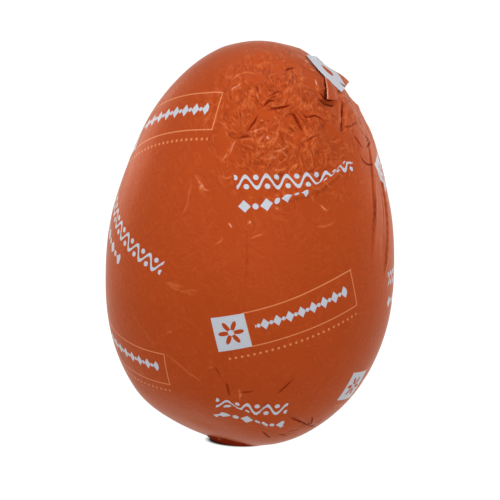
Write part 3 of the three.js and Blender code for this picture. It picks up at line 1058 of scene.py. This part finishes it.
class FoilEggStageSettings(bpy.types.PropertyGroup):
    """What a user would change about the camera and the light."""

    distance: FloatProperty(
        name="Distance", description="From the camera to the egg", default=0.6, min=0.1, unit="LENGTH"
    )
    elevation: FloatProperty(
        name="Elevation", description="How far the camera looks down", default=radians(8), subtype="ANGLE"
    )
    roll: FloatProperty(
        name="Roll", description="How far the camera leans", default=radians(3.67), subtype="ANGLE"
    )
    pixels_per_mm: FloatProperty(
        name="Scale", description="Pixels to a millimetre at the egg", default=4.819, min=0.1
    )
    floor_glow: FloatProperty(name="Floor glow", description="Light of the floor itself", default=1.0, min=0)
    world_light: FloatProperty(
        name="World light", description="Strength of the light all round", default=1.36, min=0
    )
    key_light: FloatProperty(
        name="Key light", description="Power of the light above, in watts", default=3.0, min=0
    )
    rim_light: FloatProperty(
        name="Rim light", description="Power of each light behind, in watts", default=3.0, min=0
    )


# -------------------- the pieces


def spun_egg(rows, columns):
    """Half a circle stretched into the egg's outline, spun, and pressed flat where the egg stands."""
    deselect_all()
    bpy.ops.mesh.primitive_circle_add(vertices=2 * rows, radius=1)
    egg = bpy.context.object
    mesh = egg.data
    select_points(mesh, get_points(mesh)[:, 0] < -1e-3)
    bpy.ops.object.mode_set(mode="EDIT")
    bpy.ops.mesh.delete(type="VERT")
    bpy.ops.object.mode_set(mode="OBJECT")

    circle = get_points(mesh) * MM
    around = np.arctan2(np.maximum(circle[:, 0], 0), -circle[:, 1]) / pi
    around = pi * (around + ROW_CROWDING * np.sin(pi * around) / pi)
    height = MIDDLE[2] - HALF_HEIGHT * np.cos(around)
    flat_rim = float(radius_at(0.0))
    rim_around = np.arccos(MIDDLE[2] / HALF_HEIGHT)
    radius = np.where(height < 0, flat_rim * around / rim_around, radius_at(np.maximum(height, 0)))
    radius[np.abs(circle[:, 0]) < 1e-6] = 0
    set_points(mesh, np.stack([radius, np.zeros_like(radius), np.maximum(height, 0)], -1))

    bpy.ops.object.mode_set(mode="EDIT")
    bpy.ops.mesh.select_all(action="SELECT")
    bpy.ops.mesh.spin(steps=columns, angle=2 * pi, center=(0, 0, 0), axis=(0, 0, 1))
    bpy.ops.mesh.select_all(action="SELECT")
    bpy.ops.mesh.remove_doubles(threshold=1e-6)
    bpy.ops.mesh.normals_make_consistent(inside=False)
    bpy.ops.object.mode_set(mode="OBJECT")
    return egg


class FOILEGG_OT_wrap(bpy.types.Operator):
    """Spin the egg and press its foil into folds, crumples and creases"""

    bl_idname = "foil_egg.wrap"
    bl_label = "Foil wrap"

    def execute(self, context):
        settings = context.scene.foil_egg
        egg = spun_egg(settings.rows, settings.columns)
        egg.name = egg.data.name = "foil_wrap"
        points = get_points(egg.data)
        even = np.arctan2(points[:, 0], -points[:, 1])
        turn = even - COLUMN_CROWDING * np.sin(even - radians(GATHER_TURN))
        points = round_point(np.hypot(points[:, 0], points[:, 1]), turn, points[:, 2])
        rise, pull, crumpled = foil_relief(points)
        beside, strength = sharp_lines(points)
        raised = points + rise[:, None] * unit(points - MIDDLE)
        set_points(egg.data, raised)
        lay_print(egg.data, points + pull)
        add_attribute(egg.data, "crumple", crumpled)
        add_attribute(egg.data, "hollow", hollowness(egg.data))
        add_attribute(egg.data, "beside_line", beside)
        add_attribute(egg.data, "line_depth", strength)
        dress(egg, foil_material(settings))
        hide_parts(NODE)
        return {"FINISHED"}


def quadratic(points, share):
    """Places on a smooth line through three points."""
    first, middle, last = (np.asarray(point)[None, :] for point in points)
    share = share[:, None]
    before = first * (1 - share) * (1 - 2 * share)
    return before + middle * 4 * share * (1 - share) + last * share * (2 * share - 1)


def bent_corner(corner, along, across):
    """Points of a loose corner, from its root to its edge along and from end to end across."""
    compass = Compass(corner.turn, corner.height)
    root = quadratic(corner.root, across)
    offset = root + (quadratic(corner.edge, across) - root) * along[:, None]
    down, round_, lift = offset.T
    lift += CORNER_WAVE * along * np.sin(2 * pi * across)
    directions = compass.out + np.outer(down, compass.down) / compass.reach
    directions = unit(directions + np.outer(round_, compass.round) / compass.reach)
    return point_towards(directions) + directions * lift[:, None]


def line_on_corner(corner, along, across):
    """How many millimetres a corner's points lie beside the line on it, and how deep it is there."""
    # The plain corner's edge is lightened as wear and painted highlight; the printed corner's outer edge and
    # fold are darkened as painted shade.
    if corner.name == "plain_corner":
        upper_end = 4.0 * across - 0.1
        return upper_end, np.full(len(along), CORNER_WEAR_AND_HIGHLIGHT)
    edge = 3.5 * (1 - along)
    slit = 7.0 * (along - 0.36)
    depth = CORNER_CREASE_SHADE * smoothstep(np.abs(across - 0.45), 0.3, 0.4)
    return np.where(across > 0.5, edge, slit), depth


class FOILEGG_OT_corners(bpy.types.Operator):
    """Bend the two loose corners of the sheet off the egg"""

    bl_idname = "foil_egg.corners"
    bl_label = "Loose corners"

    def execute(self, context):
        material = bpy.data.materials["lacquered_foil"]
        for corner in CORNERS:
            deselect_all()
            columns, rows = CORNER_GRID
            bpy.ops.mesh.primitive_grid_add(x_subdivisions=columns, y_subdivisions=rows, size=1)
            piece = bpy.context.object
            piece.name = piece.data.name = corner.name
            flat = get_points(piece.data) * MM + 0.5
            along, across = flat[:, 0], flat[:, 1]
            set_points(piece.data, bent_corner(corner, along, across))
            self.print_corner(piece.data, corner, along, across)
            for name in ("crumple", "hollow"):
                add_attribute(piece.data, name, np.zeros(len(along)))
            beside, depth = line_on_corner(corner, along, across)
            add_attribute(piece.data, "beside_line", beside)
            add_attribute(piece.data, "line_depth", depth)
            wall = piece.modifiers.new("wall", "SOLIDIFY")
            wall.thickness = CORNER_THICKNESS * MM
            wall.offset = 1.0
            bpy.ops.object.modifier_apply(modifier=wall.name)
            self.bare_inside(piece.data)
            dress(piece, material)
            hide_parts(NODE)
        return {"FINISHED"}

    def print_corner(self, mesh, corner, along, across):
        """Lay the light print over the printed corner, from its upper end to its lower one."""
        corners = np.empty(len(mesh.loops), int)
        mesh.loops.foreach_get("vertex_index", corners)
        if corner.name == "printed_corner":
            uv = np.stack([CORNER_STEP + CORNER_WIDTH * (1 - across), CORNER_LENGTH * along], -1)
        else:
            uv = np.tile(np.array(PLAIN), (len(along), 1))
        mesh.uv_layers.new(name="print").uv.foreach_set("vector", uv[corners].astype(np.float32).ravel())

    def bare_inside(self, mesh):
        """Leave the side that faces the egg as bare foil."""
        layer = mesh.uv_layers["print"].uv
        for face in mesh.polygons:
            outward = (face.center / MM - Vector(MIDDLE)).normalized()
            if face.normal.dot(outward) < -0.5:
                for loop in face.loop_indices:
                    layer[loop].vector = BARE


FLOOR_SIZE, FLOOR_BEND = 3.0, 0.6  # metres
CONTACT_SHADOW_MIDDLE = (-0.9, 0.0)  # the middle of the painted contact shadow on the floor under the egg
CONTACT_SHADOW_DARK, CONTACT_SHADOW_CLEAR = 5.1, 6.4  # how far from its middle it is dark, and from where it is pale
FLOOR_PAINT = (0.02, 0.02, 0.02, 1)  # dark, so that the floor's own glow is what shows
SENSOR_WIDTH, PICTURE_WIDTH = 36.0, 500
AIM_LEFT, AIM_DOWN = 1.4, 7.0  # pixels from the egg's middle to the picture's


class FOILEGG_OT_stage(bpy.types.Operator):
    """Set a pale floor that curves up behind the egg, with a painted contact shadow under it, soft light and
    the camera
    """

    bl_idname = "foil_egg.stage"
    bl_label = "Stage"

    def execute(self, context):
        stage = context.scene.foil_egg_stage
        self.add_floor(stage)
        self.add_light(context, stage)
        self.add_camera(context, stage)
        return {"FINISHED"}

    def add_floor(self, stage):
        deselect_all()
        bpy.ops.mesh.primitive_plane_add(size=FLOOR_SIZE)
        floor = bpy.context.object
        floor.name = "floor"
        select_points(floor.data, get_points(floor.data)[:, 1] > 0)
        bpy.ops.object.mode_set(mode="EDIT")
        bpy.ops.mesh.extrude_region_move(TRANSFORM_OT_translate={"value": (0, 0, FLOOR_SIZE / 2)})
        bpy.ops.object.mode_set(mode="OBJECT")
        points = get_points(floor.data)
        select_points(floor.data, (points[:, 1] > 0) & (points[:, 2] < 1))
        bpy.ops.object.mode_set(mode="EDIT")
        bpy.ops.mesh.bevel(offset=FLOOR_BEND, segments=16, affect="EDGES")
        bpy.ops.object.mode_set(mode="OBJECT")
        bpy.ops.object.shade_smooth()
        material = bpy.data.materials.new("floor_paint")
        tree = Tree(material)
        place = tree.node("TexCoord", output="Object")
        # The floor's glow fades to black under the egg: a painted contact shadow.
        middle = (CONTACT_SHADOW_MIDDLE[0] * MM, CONTACT_SHADOW_MIDDLE[1] * MM, 0.0)
        away = tree.node("VectorMath", [place, middle], output="Value", operation="DISTANCE")
        clear = ((away / MM - CONTACT_SHADOW_DARK) / (CONTACT_SHADOW_CLEAR - CONTACT_SHADOW_DARK)).held()
        glow = tree.mix_colour(clear, (0, 0, 0, 1), (1, 1, 1, 1))
        paint = {"Base Color": FLOOR_PAINT, "Roughness": 1.0}
        paint |= {"Emission Color": glow, "Emission Strength": stage.floor_glow}
        shader = tree.node("BsdfPrincipled", paint)
        tree.node("OutputMaterial", {"Surface": shader})
        floor.data.materials.append(material)

    def add_light(self, context, stage):
        world = bpy.data.worlds.new("studio")
        tree = Tree(world)
        white = {"Color": (1, 1, 1, 1), "Strength": stage.world_light}
        background = tree.node("Background", white)
        tree.node("OutputWorld", {"Surface": background})
        context.scene.world = world
        target = Vector((0, 0, EGG_HEIGHT / 2 * MM))
        for name, place, size, power in (
            ("top_light", (0.0, -0.1, 1.0), 1.2, stage.key_light),
            ("side_light", (-0.9, -0.6, 0.6), 1.0, stage.key_light * 0.4),
            ("front_light", (0.2, -1.3, 0.2), 1.5, stage.key_light),
            ("left_rim_light", (-0.9, 0.95, 0.1), 0.8, stage.rim_light),
            ("right_rim_light", (0.9, 0.95, 0.1), 0.8, stage.rim_light * 0.8),
        ):
            bpy.ops.object.light_add(type="AREA", location=place)
            light = bpy.context.object
            light.name = name
            light.data.shape = "SQUARE"
            light.data.size = size
            light.data.energy = power
            light.rotation_euler = (target - Vector(place)).to_track_quat("-Z", "Y").to_euler()

    def add_camera(self, context, stage):
        back = Vector((0, -cos(stage.elevation), sin(stage.elevation)))
        level = Vector((1, 0, 0))
        upright = back.cross(level)
        right = cos(stage.roll) * level + sin(stage.roll) * upright
        up = cos(stage.roll) * upright - sin(stage.roll) * level
        middle = Vector((0, 0, EGG_HEIGHT / 2 * MM))
        pixel = MM / stage.pixels_per_mm
        aim = middle - AIM_LEFT * pixel * right - AIM_DOWN * pixel * up
        bpy.ops.object.camera_add()
        camera = bpy.context.object
        place = aim + stage.distance * back
        turned = Matrix((right, up, back)).transposed().to_4x4()
        camera.matrix_world = Matrix.Translation(place) @ turned
        camera.data.sensor_fit = "HORIZONTAL"
        camera.data.sensor_width = SENSOR_WIDTH
        camera.data.lens = stage.pixels_per_mm * stage.distance / MM * SENSOR_WIDTH / PICTURE_WIDTH
        camera.data.clip_start = 0.01
        camera.data.clip_end = 20
        context.scene.camera = camera


class FOILEGG_PT_panel(bpy.types.Panel):
    """The steps that make the egg"""

    bl_label = "Foil egg"
    bl_idname = "FOILEGG_PT_panel"
    bl_space_type = "VIEW_3D"
    bl_region_type = "UI"
    bl_category = "Foil egg"

    def draw(self, context):
        for step in STEPS:
            self.layout.operator(step.bl_idname)


STEPS = (FOILEGG_OT_stage, FOILEGG_OT_wrap, FOILEGG_OT_corners)
CLASSES = (FoilEggSettings, FoilEggStageSettings, *STEPS, FOILEGG_PT_panel)


def register():
    for item in CLASSES:
        bpy.utils.register_class(item)
    bpy.types.Scene.foil_egg = PointerProperty(type=FoilEggSettings)
    bpy.types.Scene.foil_egg_stage = PointerProperty(type=FoilEggStageSettings)


def unregister():
    del bpy.types.Scene.foil_egg_stage
    del bpy.types.Scene.foil_egg
    for item in reversed(CLASSES):
        bpy.utils.unregister_class(item)


def main():
    register()
    bpy.context.scene.view_settings.view_transform = "Standard"
    bpy.ops.foil_egg.stage()
    bpy.ops.foil_egg.wrap()
    bpy.ops.foil_egg.corners()


if __name__ == "__main__":
    main()
